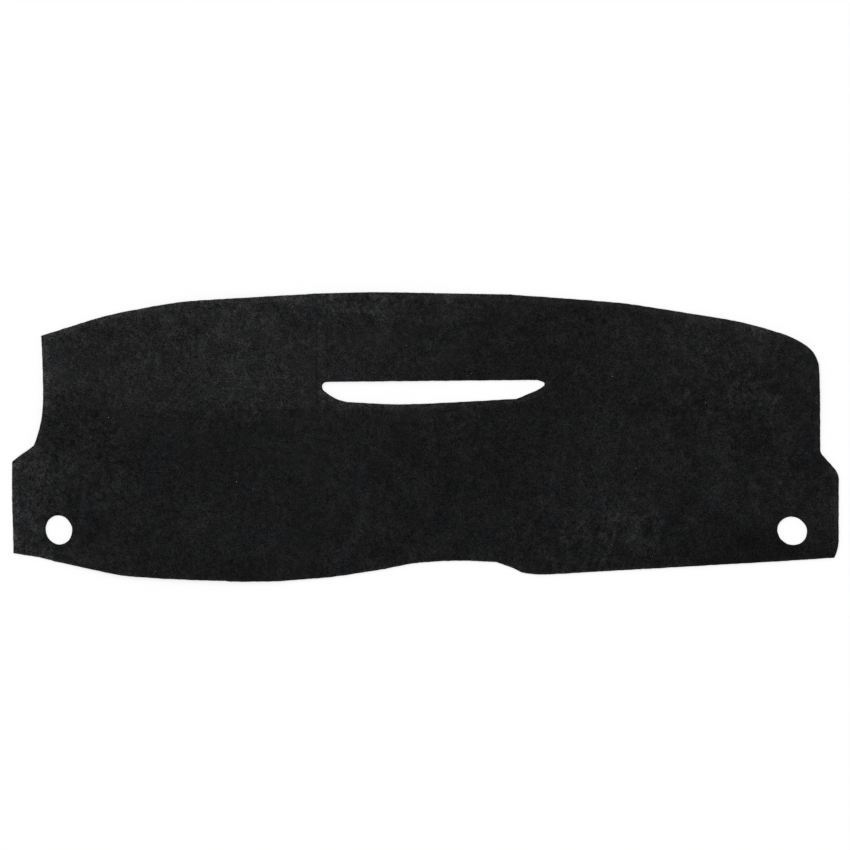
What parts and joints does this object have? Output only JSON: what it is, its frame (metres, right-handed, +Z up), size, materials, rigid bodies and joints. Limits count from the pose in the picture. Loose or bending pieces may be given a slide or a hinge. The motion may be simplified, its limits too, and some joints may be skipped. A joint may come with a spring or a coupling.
{
  "type": "dashboard cover mat",
  "caption": "Flat black felt mat cut to the outline of a car dashboard top, with a long outlet slot in the middle and a round hole in each front corner.",
  "frame": {"origin": "on the flat underside, below the middle of the mat's bounding box", "axes": "+X along the dashboard to the right as seen from the seats, +Y towards the windscreen, +Z up out of the pile"},
  "size_m": [1.447, 0.5068, 0.004],
  "materials": {
    "felt": "matt black short-pile felt"
  },
  "bodies": {
    "root": {"dash_mat": "felt"}
  },
  "joints": []
}
